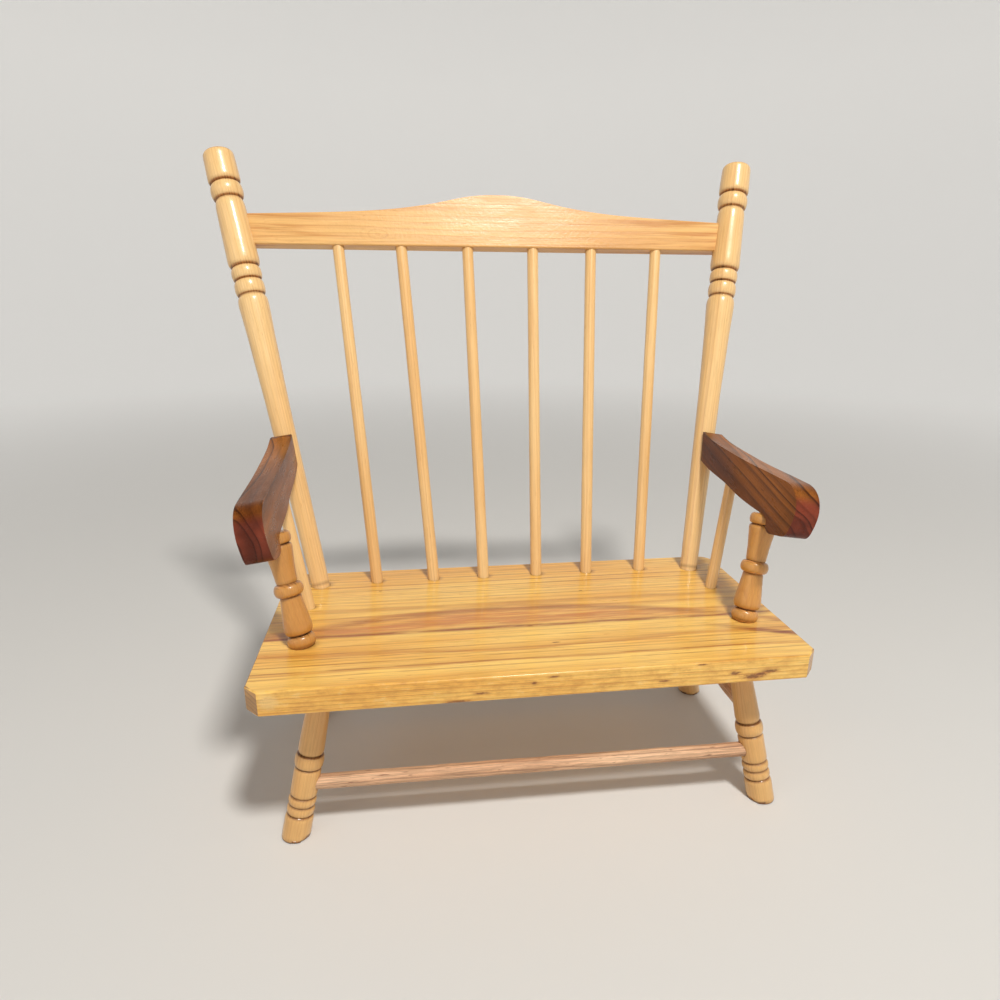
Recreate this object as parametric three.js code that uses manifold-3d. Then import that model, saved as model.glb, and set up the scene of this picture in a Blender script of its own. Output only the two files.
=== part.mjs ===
// A small spindle-back wooden bench with arms, on four splayed turned legs.
// Millimetres, +Z up. The bench faces -Y, +X is its left-to-right width, and the
// origin is on the ground under the middle of its overall footprint.

import * as THREE from 'three';
import { mergeVertices } from 'three/addons/utils/BufferGeometryUtils.js';
import Module from 'manifold-3d';

const wasm = await Module();
wasm.setup();

// ---------------------------------------------------------------- driving dimensions
// Y values of places on the bench are measured back from the front edge of the seat.

const GAP = 0.3; // clearance between a piece and the hole or face that receives it

const SEAT_WIDTH = 406.4;
const SEAT_DEPTH = 196;
const SEAT_THICKNESS = 18.6;
const SEAT_TOP = 138.1;
const SEAT_UNDERSIDE = SEAT_TOP - SEAT_THICKNESS;
const SEAT_CLIP = 9.3; // front corners sawn off at 45 degrees
const SEAT_REAR_RADIUS = 13;
const SEAT_EASE = 1.2; // eased edges, top and bottom
const TENON_DEPTH = 12.5; // how deep a tenon goes into the seat board

const BACK_LEAN = THREE.MathUtils.degToRad(19);
const SPINDLE_ROW_Y = 173.3;
const SPINDLE_RADIUS = 5.2;
const SPINDLE_HOLE_RADIUS = 5.8; // the holes are a little oversize
const SPINDLES = [ // [x at the seat, x at the rail], bored by hand and so not quite even
  [-122.7, -148.5],
  [-71.4, -91.1],
  [-25.5, -29.2],
  [24.1, 33.1],
  [72.0, 90.1],
  [123.8, 154.9],
];
const SPINDLE_TENON = 11;

const RAIL_THICKNESS = 12.5;
const RAIL_BOTTOM = 307.3; // along the slope of the back, from the seat's top face
const RAIL_END_HEIGHT = 27.1;
const RAIL_EASE = 1.6;
const RAIL_CROWN = [[150, 3.4], [104, 6.7], [66, 12.2], [33, 19.5], [14, 22.2], [0, 22.6]]; // [x, rise]

const POST_FORWARD = 3.5; // the post axes lie this far in front of the spindle row
const POST_X_AT_SEAT = 172.5;
const POST_SPLAY = { // in the plane of the back
  left: THREE.MathUtils.degToRad(11.5),
  right: THREE.MathUtils.degToRad(10.05),
};
const POST_LENGTH = 398; // above the seat
const POST_HOLE_RADIUS = 8.3;
const RAIL_HOUSING = { past: 3.5, above: 1.5, below: 1.2 }; // the slot that takes the rail's end

const LEG_HEIGHT = SEAT_UNDERSIDE;
const LEGS = { // [x, y] on the ground and at the seat's underside
  front_left: { foot: [-182.8, 25.6], top: [-156.8, 44] },
  front_right: { foot: [183.2, 19.4], top: [161.5, 44] },
  rear_left: { foot: [-186, 173.8], top: [-157, 152] },
  rear_right: { foot: [187, 173.8], top: [159, 152] },
};
const LEG_TENON_RADIUS = 7.8;
const LEG_HOLE_RADIUS = 8.4;

const STRETCHER_RADIUS = 5.5;
const CROSS_STRETCHER_Z = 40.2;
const SIDE_STRETCHER_Z = 73;
const STRETCHER_INSET = 4.8; // from a leg's axis to the end of the stretcher in it

const ARM_THICKNESS = 18.8;
const ARM_MIDDLE_X = 192.2; // of the arm's middle plane, at the pivot
const ARM_TOE = { left: 0.018, right: 0.002 }; // how fast an arm spreads towards the rear
const ARM_LEAN = 0.145; // how fast it spreads upwards
const ARM_EASE = 1.1;
const ARM_PITCH = { // the rear end lifted a little
  left: THREE.MathUtils.degToRad(2.4),
  right: THREE.MathUtils.degToRad(0.1),
};
const ARM_PIVOT = { y: 75, z: 222 }; // over the arm post

const ARM_SUPPORT_SLOPE = [0.19, 0.18]; // x and y gained per mm of height
const ARM_POST_FOOT = { left: [-172.6, 61.5], right: [174.1, 61.5] };
const ARM_POST_SHOULDER_Z = 221.6;
const ARM_SPINDLE_FOOT = { left: [-176.4, 125], right: [174.6, 125] };
const ARM_SPINDLE_TOP_Z = 238;
const ARM_SPINDLE_RADIUS = 4.85;
const ARM_POST_TENON_RADIUS = 4.6;
const ARM_POST_TOP_TENON = 11;

const ARM_PIN_RADIUS = 3.2; // hidden dowel that ties the arm to the back post
const ARM_PIN_HEIGHT = 250;
const ARM_PIN_IN_ARM = 16;
const ARM_PIN_IN_POST = 7.5;
const POST_FRONT_AT_ARM = 10.5; // from the post's axis forward to the arm's sawn end

const BLIND = 0.6; // room left at the bottom of a blind hole
const CUTTER = 40; // length of a drill or saw shape, more than any cut needs

const ROUND = 16; // sides of a turned piece
const SLIM = 12; // sides of a dowel

// ---------------------------------------------------------------- materials

function wood(name, colour, roughness) {
  return new THREE.MeshStandardMaterial({ name, color: colour, roughness, metalness: 0 });
}

const SEAT_PINE = wood('seat_pine', 0xd9a04f, 0.32);
const PALE_TURNED = wood('pale_turned_wood', 0xe3b368, 0.36);
const RAIL_PINE = wood('rail_pine', 0xd9a660, 0.38);
const RED_ARM = wood('red_brown_arm_wood', 0x7c4524, 0.3);
const RAW_OAK = wood('raw_stretcher_wood', 0xb98a6c, 0.72);
const HIDDEN_DOWEL = wood('dowel_wood', 0xcfa56a, 0.7);

// ---------------------------------------------------------------- solids

function toSolid(geometry) {
  const bare = geometry.clone();
  bare.deleteAttribute('normal');
  bare.deleteAttribute('uv');
  const merged = mergeVertices(bare, 1e-4);
  return new wasm.Manifold(new wasm.Mesh({
    numProp: 3,
    vertProperties: new Float32Array(merged.attributes.position.array),
    triVerts: new Uint32Array(merged.index.array),
  }));
}

function toGeometry(solid) {
  const mesh = solid.getMesh();
  const geometry = new THREE.BufferGeometry();
  geometry.setAttribute('position', new THREE.BufferAttribute(mesh.vertProperties, 3));
  geometry.setIndex(new THREE.BufferAttribute(mesh.triVerts, 1));
  return geometry;
}

// A turned solid about its own Y axis, from [radius, height] points, bottom to top.
function turned(profile, sides = ROUND) {
  const low = profile[0][1];
  const high = profile.at(-1)[1];
  const outline = [[0, low], ...profile, [0, high]];
  return new THREE.LatheGeometry(outline.map(([r, h]) => new THREE.Vector2(r, h)), sides);
}

function dowel(radius, length, chamfer = 0.6, sides = SLIM) {
  return turned([
    [radius - chamfer, 0],
    [radius, chamfer],
    [radius, length - chamfer],
    [radius - chamfer, length],
  ], sides);
}

// A plain round cutter whose flat sides clear the radius asked for.
function drill(radius, length, sides = SLIM) {
  const clear = radius / Math.cos(Math.PI / sides);
  return turned([[clear, 0], [clear, length]], sides);
}

// A half-round bead between two heights, as profile points.
function bead(low, high, valley, crown) {
  const middle = (low + high) / 2;
  const half = (high - low) / 2;
  const rise = crown - valley;
  return [-1, -0.72, 0, 0.72, 1].map((t) => [valley + rise * Math.sqrt(1 - t * t), middle + half * t]);
}

// ---------------------------------------------------------------- placing

const bench = new THREE.Group();
const Y_AXIS = new THREE.Vector3(0, 1, 0);

function vector(x, y, z) {
  return new THREE.Vector3(x, y, z);
}

function place(name, geometry, material, parent = bench) {
  const mesh = new THREE.Mesh(geometry, material);
  mesh.name = name;
  parent.add(mesh);
  return mesh;
}

// Stands a Y-axis shape at a point, pointing along a direction.
function aim(object, from, direction) {
  object.position.copy(from);
  object.quaternion.setFromUnitVectors(Y_AXIS, direction.clone().normalize());
  return object;
}

function worldMatrix(object) {
  object.updateWorldMatrix(true, false);
  return object.matrixWorld;
}

// Cuts a mesh with cutters that are objects placed anywhere in the scene.
function cut(mesh, ...cutters) {
  const toMesh = worldMatrix(mesh).clone().invert();
  let solid = toSolid(mesh.geometry);
  for (const cutter of cutters) {
    const local = toMesh.clone().multiply(worldMatrix(cutter));
    solid = solid.subtract(toSolid(cutter.geometry.clone().applyMatrix4(local)));
  }
  mesh.geometry = toGeometry(solid);
}

function loose(geometry, parent = null) {
  const cutter = new THREE.Mesh(geometry);
  cutter.parent = parent;
  return cutter;
}

const SIDES = { left: -1, right: 1 };

// ---------------------------------------------------------------- the back's sloping frame
// Local X is across the bench, local Z runs up the slope, local Y is the back's thickness.

const back = new THREE.Group();
back.position.set(0, SPINDLE_ROW_Y, SEAT_TOP);
back.rotation.x = -BACK_LEAN;
bench.add(back);

function postX(height, label) {
  return SIDES[label] * (POST_X_AT_SEAT + height * Math.tan(POST_SPLAY[label]));
}

function postDirection(label) {
  return vector(SIDES[label] * Math.sin(POST_SPLAY[label]), 0, Math.cos(POST_SPLAY[label]));
}

// ---------------------------------------------------------------- seat board

function seatOutline() {
  const half = SEAT_WIDTH / 2 - SEAT_EASE;
  const front = SEAT_EASE;
  const rear = SEAT_DEPTH - SEAT_EASE;
  const r = SEAT_REAR_RADIUS;
  const shape = new THREE.Shape();
  shape.moveTo(-half + SEAT_CLIP, front);
  shape.lineTo(half - SEAT_CLIP, front);
  shape.lineTo(half, front + SEAT_CLIP);
  shape.lineTo(half, rear - r);
  shape.absarc(half - r, rear - r, r, 0, Math.PI / 2);
  shape.lineTo(-half + r, rear);
  shape.absarc(-half + r, rear - r, r, Math.PI / 2, Math.PI);
  shape.lineTo(-half, front + SEAT_CLIP);
  shape.closePath();
  return shape;
}

const seat = place('seat_board', new THREE.ExtrudeGeometry(seatOutline(), {
  depth: SEAT_THICKNESS - 2 * SEAT_EASE,
  bevelThickness: SEAT_EASE,
  bevelSize: SEAT_EASE,
  bevelSegments: 2,
  curveSegments: 6,
}), SEAT_PINE);
seat.position.z = SEAT_UNDERSIDE + SEAT_EASE;

const seatCutters = [];

// ---------------------------------------------------------------- back posts

function postProfile() {
  const tenon = 7.6;
  return [
    [tenon - 0.8, -TENON_DEPTH + 0.6], // [radius, height above the seat]
    [tenon, -TENON_DEPTH + 1.6],
    [7.8, 0],
    [9.4, 110],
    [10.2, 168],
    [11.9, 229],
    [13, 255],
    [12.7, 262],
    [11.1, 265.1],
    ...bead(265.7, 278.8, 11.2, 13),
    [11, 279.3],
    ...bead(279.8, 291.2, 11.2, 13),
    [11, 291.7],
    [13, 294],
    [13.8, 298],
    [13.3, 325],
    [12.8, 347],
    [12.3, 351.8],
    [11.2, 353.9],
    ...bead(354.5, 368.6, 11.6, 14),
    [11.6, 369.1],
    [13.9, 371.6],
    [13.5, 394.4],
    [12.9, 396.9],
    [11.6, POST_LENGTH],
  ];
}

const posts = {};
for (const label in SIDES) {
  const foot = vector(postX(0, label), -POST_FORWARD, 0);
  const direction = postDirection(label);
  posts[label] = place(`back_post_${label}`, turned(postProfile()), PALE_TURNED, back);
  aim(posts[label], foot, direction);

  const hole = aim(loose(drill(POST_HOLE_RADIUS, CUTTER, ROUND), back), foot, direction);
  hole.position.addScaledVector(direction, -TENON_DEPTH);
  seatCutters.push(hole);
}

// ---------------------------------------------------------------- crest rail

function railEndX(label) {
  return postX(RAIL_BOTTOM + RAIL_END_HEIGHT / 2, label) - SIDES[label] * RAIL_HOUSING.past;
}

function railOutline() {
  const left = railEndX('left') + RAIL_EASE;
  const right = railEndX('right') - RAIL_EASE;
  const low = RAIL_BOTTOM + RAIL_EASE;
  const shoulder = RAIL_BOTTOM + RAIL_END_HEIGHT - RAIL_EASE;
  const rise = RAIL_CROWN.map(([x, z]) => new THREE.Vector2(x, shoulder + z));
  const fall = rise.slice(0, -1).reverse();
  const mirrored = fall.map((point) => new THREE.Vector2(-point.x, point.y));
  const shape = new THREE.Shape();
  shape.moveTo(left, low);
  shape.lineTo(right, low);
  shape.lineTo(right, shoulder);
  shape.splineThru([...rise, ...mirrored, new THREE.Vector2(left, shoulder)]);
  shape.closePath();
  return shape;
}

const rail = place('crest_rail', new THREE.ExtrudeGeometry(railOutline(), {
  depth: RAIL_THICKNESS - 2 * RAIL_EASE,
  bevelThickness: RAIL_EASE,
  bevelSize: RAIL_EASE,
  bevelSegments: 2,
  curveSegments: 2,
}), RAIL_PINE, back);
rail.rotation.x = Math.PI / 2;
rail.position.y = RAIL_THICKNESS / 2 - RAIL_EASE;

for (const label in SIDES) {
  const height = RAIL_END_HEIGHT + RAIL_HOUSING.above + RAIL_HOUSING.below;
  const slot = loose(new THREE.BoxGeometry(CUTTER, RAIL_THICKNESS + 2 * GAP, height), back);
  const blindEnd = railEndX(label) + SIDES[label] * GAP;
  const middle = RAIL_BOTTOM - RAIL_HOUSING.below + height / 2;
  slot.position.set(blindEnd - SIDES[label] * CUTTER / 2, 0, middle);
  cut(posts[label], slot);
}

// ---------------------------------------------------------------- back spindles

const railCutters = [];

SPINDLES.forEach(([atSeat, atRail], index) => {
  const foot = vector(atSeat, 0, 0);
  const head = vector(atRail, 0, RAIL_BOTTOM);
  const direction = head.clone().sub(foot).normalize();
  const start = foot.clone().addScaledVector(direction, BLIND - TENON_DEPTH);
  const length = head.distanceTo(foot) + TENON_DEPTH - BLIND + SPINDLE_TENON;
  const spindle = place(`back_spindle_${index + 1}`, dowel(SPINDLE_RADIUS, length), PALE_TURNED, back);
  aim(spindle, start, direction);

  const seatHole = aim(loose(drill(SPINDLE_HOLE_RADIUS, CUTTER), back), start, direction);
  seatHole.position.addScaledVector(direction, -BLIND);
  seatCutters.push(seatHole);

  const railHole = aim(loose(drill(SPINDLE_RADIUS + GAP, CUTTER), back), head, direction);
  railHole.position.addScaledVector(direction, SPINDLE_TENON + BLIND - CUTTER);
  railCutters.push(railHole);
});
cut(rail, ...railCutters);

// ---------------------------------------------------------------- legs

function legProfile(length) {
  return [
    [10.1, -8],
    [10.4, 2],
    [10.4, 16.3],
    [9.0, 17.9],
    ...bead(18.4, 24.8, 9.2, 10.1),
    [9.0, 25.3],
    ...bead(25.8, 31.8, 9.2, 10.1),
    [8.9, 32.3],
    [9.9, 33.9],
    [9.9, 53.2],
    [8.8, 55],
    ...bead(55.5, 65.4, 9, 10.6),
    [8.6, 65.9],
    [9.4, 68],
    [8.0, length - 2],
    [LEG_TENON_RADIUS, length + 2],
    [LEG_TENON_RADIUS, length + TENON_DEPTH - 0.8],
    [LEG_TENON_RADIUS - 0.8, length + TENON_DEPTH],
  ];
}

// A point on a leg's axis at a height above the ground.
function legAxis(name, z) {
  const { foot, top } = LEGS[name];
  const t = z / LEG_HEIGHT;
  return vector(foot[0] + (top[0] - foot[0]) * t, foot[1] + (top[1] - foot[1]) * t, z);
}

const ground = loose(new THREE.BoxGeometry(2 * SEAT_WIDTH, 2 * SEAT_WIDTH, CUTTER));
ground.position.z = -CUTTER / 2;

const legs = {};
for (const name in LEGS) {
  const foot = legAxis(name, 0);
  const top = legAxis(name, LEG_HEIGHT);
  const direction = top.clone().sub(foot).normalize();
  const leg = place(`leg_${name}`, turned(legProfile(top.distanceTo(foot))), PALE_TURNED);
  aim(leg, foot, direction);
  cut(leg, ground);
  legs[name] = leg;

  const hole = aim(loose(drill(LEG_HOLE_RADIUS, CUTTER, ROUND)), top, direction);
  hole.position.addScaledVector(direction, TENON_DEPTH + BLIND - CUTTER);
  seatCutters.push(hole);
}

// ---------------------------------------------------------------- stretchers

function stretcher(name, legA, legB, z) {
  const from = legAxis(legA, z);
  const to = legAxis(legB, z);
  const direction = to.clone().sub(from).normalize();
  const start = from.clone().addScaledVector(direction, STRETCHER_INSET);
  const length = to.distanceTo(from) - 2 * STRETCHER_INSET;
  aim(place(name, dowel(STRETCHER_RADIUS, length), RAW_OAK), start, direction);

  const socket = aim(loose(drill(STRETCHER_RADIUS + GAP, length + 2 * BLIND)), start, direction);
  socket.position.addScaledVector(direction, -BLIND);
  cut(legs[legA], socket);
  cut(legs[legB], socket);
}

stretcher('stretcher_front', 'front_left', 'front_right', CROSS_STRETCHER_Z);
stretcher('stretcher_rear', 'rear_left', 'rear_right', CROSS_STRETCHER_Z);
stretcher('stretcher_left', 'front_left', 'rear_left', SIDE_STRETCHER_Z);
stretcher('stretcher_right', 'front_right', 'rear_right', SIDE_STRETCHER_Z);

// ---------------------------------------------------------------- arms
// The arm is sawn from a board in side view: shape X is distance back, shape Y is height.

function armOutline() {
  const shape = new THREE.Shape();
  shape.moveTo(196.8, 237.2);
  shape.splineThru([
    new THREE.Vector2(171, 232.6),
    new THREE.Vector2(138, 229.4),
    new THREE.Vector2(110, 225.2),
    new THREE.Vector2(84, 223.4),
    new THREE.Vector2(66, 223.2),
  ]);
  shape.quadraticCurveTo(61.8, 222.4, 60.8, 216);
  shape.quadraticCurveTo(59.8, 211.2, 55.6, 211.5);
  shape.lineTo(38, 215.4);
  shape.quadraticCurveTo(33.6, 216.4, 31.6, 220.8);
  shape.quadraticCurveTo(28.6, 228.6, 28.4, 236);
  shape.bezierCurveTo(29.2, 247.2, 37, 254.2, 49, 255);
  shape.splineThru([
    new THREE.Vector2(69, 255.2),
    new THREE.Vector2(100, 255.2),
    new THREE.Vector2(124, 255.7),
    new THREE.Vector2(160, 257.4),
    new THREE.Vector2(184, 259.4),
    new THREE.Vector2(204.4, 263),
  ]);
  shape.closePath();
  return shape;
}

function armMesh(label) {
  const side = SIDES[label];
  const geometry = new THREE.ExtrudeGeometry(armOutline(), {
    depth: ARM_THICKNESS - 2 * ARM_EASE,
    bevelThickness: ARM_EASE,
    bevelSize: ARM_EASE,
    bevelOffset: -ARM_EASE,
    bevelSegments: 2,
    curveSegments: 3,
  });
  geometry.translate(-ARM_PIVOT.y, -ARM_PIVOT.z, -ARM_THICKNESS / 2 + ARM_EASE);
  geometry.rotateZ(ARM_PITCH[label]);
  const arm = place(`arm_${label}`, geometry, RED_ARM);
  arm.position.set(side * ARM_MIDDLE_X, ARM_PIVOT.y, ARM_PIVOT.z);
  // the outline's X runs back along the bench, its Y runs up and leans out
  const along = vector(side * ARM_TOE[label], 1, 0).normalize();
  const up = vector(side * ARM_LEAN, 0, 1);
  up.addScaledVector(along, -up.dot(along)).normalize();
  const across = along.clone().cross(up);
  arm.quaternion.setFromRotationMatrix(new THREE.Matrix4().makeBasis(along, up, across));
  return arm;
}

function armPostProfile(shoulder) {
  const tenon = ARM_POST_TENON_RADIUS;
  return [
    [tenon - 0.5, -TENON_DEPTH + 0.6],
    [tenon, -TENON_DEPTH + 1.4],
    [tenon, -3.2],
    ...bead(-1.4, 8.4, 6.6, 10.3),
    [8.8, 9.0],
    [10.1, 10.8],
    [10.4, 15.4],
    [9.3, 24],
    [7.7, 37.6],
    ...bead(38.2, 47.8, 8.0, 10.7),
    [7.6, 48.6],
    [8.4, 60],
    [10.2, 74.5],
    [10.1, 76],
    [8.9, 77.4],
    ...bead(77.8, shoulder, 9.0, 10.8),
    [tenon, shoulder],
    [tenon, shoulder + ARM_POST_TOP_TENON - 0.6],
    [tenon - 0.6, shoulder + ARM_POST_TOP_TENON],
  ];
}

for (const label in SIDES) {
  const arm = armMesh(label);
  const slope = vector(SIDES[label] * ARM_SUPPORT_SLOPE[0], ARM_SUPPORT_SLOPE[1], 1);
  const direction = slope.clone().normalize();

  // the turned post under the arm's front: its lowest bead is sawn flat on the seat
  const postFoot = vector(...ARM_POST_FOOT[label], SEAT_TOP);
  const shoulder = (ARM_POST_SHOULDER_Z - SEAT_TOP) * slope.length();
  const armPost = place(`arm_post_${label}`, turned(armPostProfile(shoulder)), PALE_TURNED);
  aim(armPost, postFoot, direction);
  const belowBead = loose(new THREE.BoxGeometry(CUTTER, CUTTER, CUTTER));
  belowBead.position.set(postFoot.x, postFoot.y, SEAT_TOP + GAP - CUTTER / 2);
  const keepTenon = aim(loose(drill(ARM_POST_TENON_RADIUS + GAP / 2, 2 * CUTTER)), postFoot, direction);
  keepTenon.position.addScaledVector(direction, -CUTTER);
  cut(belowBead, keepTenon);
  cut(armPost, belowBead);
  const postHole = aim(loose(drill(ARM_POST_TENON_RADIUS + GAP, CUTTER)), postFoot, direction);
  postHole.position.addScaledVector(direction, -TENON_DEPTH);
  const armHole = aim(loose(drill(ARM_POST_TENON_RADIUS + GAP, CUTTER)), postFoot, direction);
  armHole.position.addScaledVector(direction, shoulder + ARM_POST_TOP_TENON + BLIND - CUTTER);

  // the plain spindle behind it
  const spindleFoot = vector(...ARM_SPINDLE_FOOT[label], SEAT_TOP);
  const start = spindleFoot.clone().addScaledVector(direction, BLIND - TENON_DEPTH);
  const length = (ARM_SPINDLE_TOP_Z - SEAT_TOP) * slope.length() + TENON_DEPTH - BLIND;
  aim(place(`arm_spindle_${label}`, dowel(ARM_SPINDLE_RADIUS, length), PALE_TURNED), start, direction);
  const spindleHole = aim(loose(drill(ARM_SPINDLE_RADIUS + GAP, length + 2 * BLIND)), start, direction);
  spindleHole.position.addScaledVector(direction, -BLIND);
  seatCutters.push(postHole, spindleHole);

  // the hidden dowel between the arm's rear end and the back post
  const reach = (ARM_PIN_HEIGHT - SEAT_TOP) / Math.cos(BACK_LEAN);
  const axis = back.localToWorld(vector(postX(reach, label), -POST_FORWARD, reach));
  const pinStart = axis.clone().add(vector(0, -POST_FRONT_AT_ARM - ARM_PIN_IN_ARM, 0));
  const pinLength = ARM_PIN_IN_ARM + ARM_PIN_IN_POST;
  const pin = place(`arm_dowel_${label}`, dowel(ARM_PIN_RADIUS, pinLength, 0.5), HIDDEN_DOWEL);
  pin.position.copy(pinStart);
  const pinHole = loose(drill(ARM_PIN_RADIUS + GAP, pinLength + 2 * BLIND));
  pinHole.position.copy(pinStart).add(vector(0, -BLIND, 0));

  // the arm's rear end is sawn to the slope of the back and stops at the post's front
  const saw = loose(new THREE.BoxGeometry(2 * CUTTER, CUTTER, 3 * CUTTER));
  const backNormal = vector(0, Math.cos(BACK_LEAN), -Math.sin(BACK_LEAN));
  saw.rotation.x = -BACK_LEAN;
  saw.position.copy(axis).addScaledVector(backNormal, CUTTER / 2 - POST_FRONT_AT_ARM);

  cut(arm, armHole, spindleHole, pinHole, saw);
  cut(posts[label], pinHole);
}

cut(seat, ...seatCutters);

// ---------------------------------------------------------------- origin and export

const footprint = new THREE.Box3().setFromObject(bench, true);
const middle = footprint.getCenter(vector(0, 0, 0));
bench.position.set(-middle.x, -middle.y, 0);

const assembly = new THREE.Group();
assembly.add(bench);
assembly.updateMatrixWorld(true);

export default assembly;
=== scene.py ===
"""A small spindle-back wooden bench with arms on four splayed turned legs, for Blender 4.5.

Shapes are worked out in millimetres in the bench's own terms and placed in metres on the
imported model. Seat coordinates: x from the seat's middle, y back from its front edge, z up.
"""

import math

import bmesh
import bpy
from mathutils import Matrix, Vector, noise


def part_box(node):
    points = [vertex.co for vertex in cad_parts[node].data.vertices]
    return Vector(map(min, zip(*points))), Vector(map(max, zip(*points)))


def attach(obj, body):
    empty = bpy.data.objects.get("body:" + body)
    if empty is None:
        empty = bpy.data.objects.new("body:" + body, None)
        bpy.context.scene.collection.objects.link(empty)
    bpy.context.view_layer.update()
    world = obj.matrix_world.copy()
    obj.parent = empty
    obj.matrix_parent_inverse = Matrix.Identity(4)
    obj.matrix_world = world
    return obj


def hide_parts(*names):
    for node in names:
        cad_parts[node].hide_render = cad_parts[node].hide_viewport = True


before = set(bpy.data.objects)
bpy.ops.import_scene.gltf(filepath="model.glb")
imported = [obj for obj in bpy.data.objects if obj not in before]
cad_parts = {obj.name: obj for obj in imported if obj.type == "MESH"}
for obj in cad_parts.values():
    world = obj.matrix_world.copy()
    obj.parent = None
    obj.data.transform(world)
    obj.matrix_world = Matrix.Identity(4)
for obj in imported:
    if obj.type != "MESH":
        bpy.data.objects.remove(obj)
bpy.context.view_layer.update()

MM = 0.001

# ---------------------------------------------------------------- sizes of the bench, mm

SEAT_HALF, SEAT_DEPTH = 203.2, 196.0
SEAT_TOP, SEAT_UNDER = 138.1, 119.5
SEAT_CLIP, SEAT_REAR_RADIUS = 9.3, 13.0
TENON, END_GAP = 12.5, 0.6  # how deep a hole is bored, and the room left at its bottom
BIT = 40  # length of the drills that bore the seat and the arms
LEAN = math.radians(19)
ROW_Y = 173.3
POST_FORWARD, POST_X = 3.5, 172.5
POST_SPLAY = {"left": math.radians(11.5), "right": math.radians(10.05)}
POST_HOLE = 8.3
SPINDLES = [  # each spindle's x at the seat and at the rail
    (-122.7, -148.5),
    (-71.4, -91.1),
    (-25.5, -29.2),
    (24.1, 33.1),
    (72.0, 90.1),
    (123.8, 154.9),
]
SPINDLE_RADIUS, SPINDLE_SEAT_HOLE, SPINDLE_RAIL_HOLE = 5.2, 5.8, 5.5
SPINDLE_IN_RAIL = 11.0
RAIL_BOTTOM, RAIL_END = 307.3, 27.1
RAIL_THICK = 12.5
RAIL_TO_POST = 3.5  # from a post's axis to the rail's end
RAIL_CROWN = [(150, 3.4), (104, 6.7), (66, 12.2), (33, 19.5), (14, 22.2), (0, 22.6)]
LEGS = {  # each leg's axis on the ground and under the seat
    "front_left": ((-182.8, 25.6), (-156.8, 44.0)),
    "front_right": ((183.2, 19.4), (161.5, 44.0)),
    "rear_left": ((-186.0, 173.8), (-157.0, 152.0)),
    "rear_right": ((187.0, 173.8), (159.0, 152.0)),
}
LEG_HOLE = 8.4
STRETCHERS = [
    ("stretcher_front", "front_left", "front_right", 40.2),
    ("stretcher_rear", "rear_left", "rear_right", 40.2),
    ("stretcher_left", "front_left", "rear_left", 73.0),
    ("stretcher_right", "front_right", "rear_right", 73.0),
]
STRETCHER_RADIUS, STRETCHER_HOLE = 5.5, 5.8
STRETCHER_START = 4.8  # from the leg's axis to the stretcher's end
ARM_THICK, ARM_MIDDLE_X, ARM_LEAN = 18.8, 192.2, 0.145
ARM_TOE = {"left": 0.018, "right": 0.002}
ARM_PITCH = {"left": math.radians(2.4), "right": math.radians(0.1)}
ARM_PIVOT = (75.0, 222.0)
ARM_POST_FOOT = {"left": (-172.6, 61.5), "right": (174.1, 61.5)}
ARM_SPINDLE_FOOT = {"left": (-176.4, 125.0), "right": (174.6, 125.0)}
ARM_SUPPORT_SLOPE = (0.19, 0.18, 1)  # outwards, backwards and up
ARM_SHOULDER_Z, ARM_POST_HOLE, ARM_POST_IN_ARM = 221.6, 4.9, 11.0
ARM_SPINDLE_TOP, ARM_SPINDLE_RADIUS, ARM_SPINDLE_HOLE = 238.0, 4.85, 5.15
ARM_DOWEL_Z, ARM_DOWEL_RADIUS, ARM_DOWEL_HOLE, ARM_DOWEL_LENGTH = 250.0, 3.2, 3.5, 23.5
ARM_DOWEL_REACH = 26.5  # from the back post's axis forwards to the dowel's far end
ARM_TO_POST = 10.5  # from the back post's axis to the arm's sawn end
SIDES = {"left": -1, "right": 1}

seat_low, seat_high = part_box("seat_board")
ORIGIN = Vector(((seat_low.x + seat_high.x) / 2, seat_low.y, 0)) / MM  # seat coordinates' zero

# ---------------------------------------------------------------- placing


def at(x, y, z):
    """A point in seat coordinates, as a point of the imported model's frame in mm."""
    return Vector((x, y, z)) + ORIGIN


def on_back(x, through, up):
    """A point in the leaning plane of the back: across, through its thickness and up its slope."""
    y = ROW_Y + through * math.cos(LEAN) + up * math.sin(LEAN)
    z = SEAT_TOP - through * math.sin(LEAN) + up * math.cos(LEAN)
    return at(x, y, z)


def standing(foot, direction, turn=0.0):
    """The matrix that stands a shape's Z axis at foot along direction, turned about itself."""
    rotation = Vector(direction).to_track_quat("Z", "Y").to_matrix().to_4x4()
    spin = Matrix.Rotation(turn, 4, "Z")
    return Matrix.Translation(Vector(foot) * MM) @ rotation @ spin


# ---------------------------------------------------------------- mesh helpers


def object_from(name, bm):
    """A smooth-shaded object from a bmesh drawn in mm."""
    bmesh.ops.recalc_face_normals(bm, faces=bm.faces)
    for edge in bm.edges:
        if len(edge.link_faces) == 2 and edge.calc_face_angle(0) > math.radians(38):
            edge.smooth = False
    for face in bm.faces:
        face.smooth = True
    mesh = bpy.data.meshes.new(name)
    bm.to_mesh(mesh)
    bm.free()
    mesh.transform(Matrix.Scale(MM, 4))
    made = bpy.data.objects.new(name, mesh)
    bpy.context.scene.collection.objects.link(made)
    return made


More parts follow.
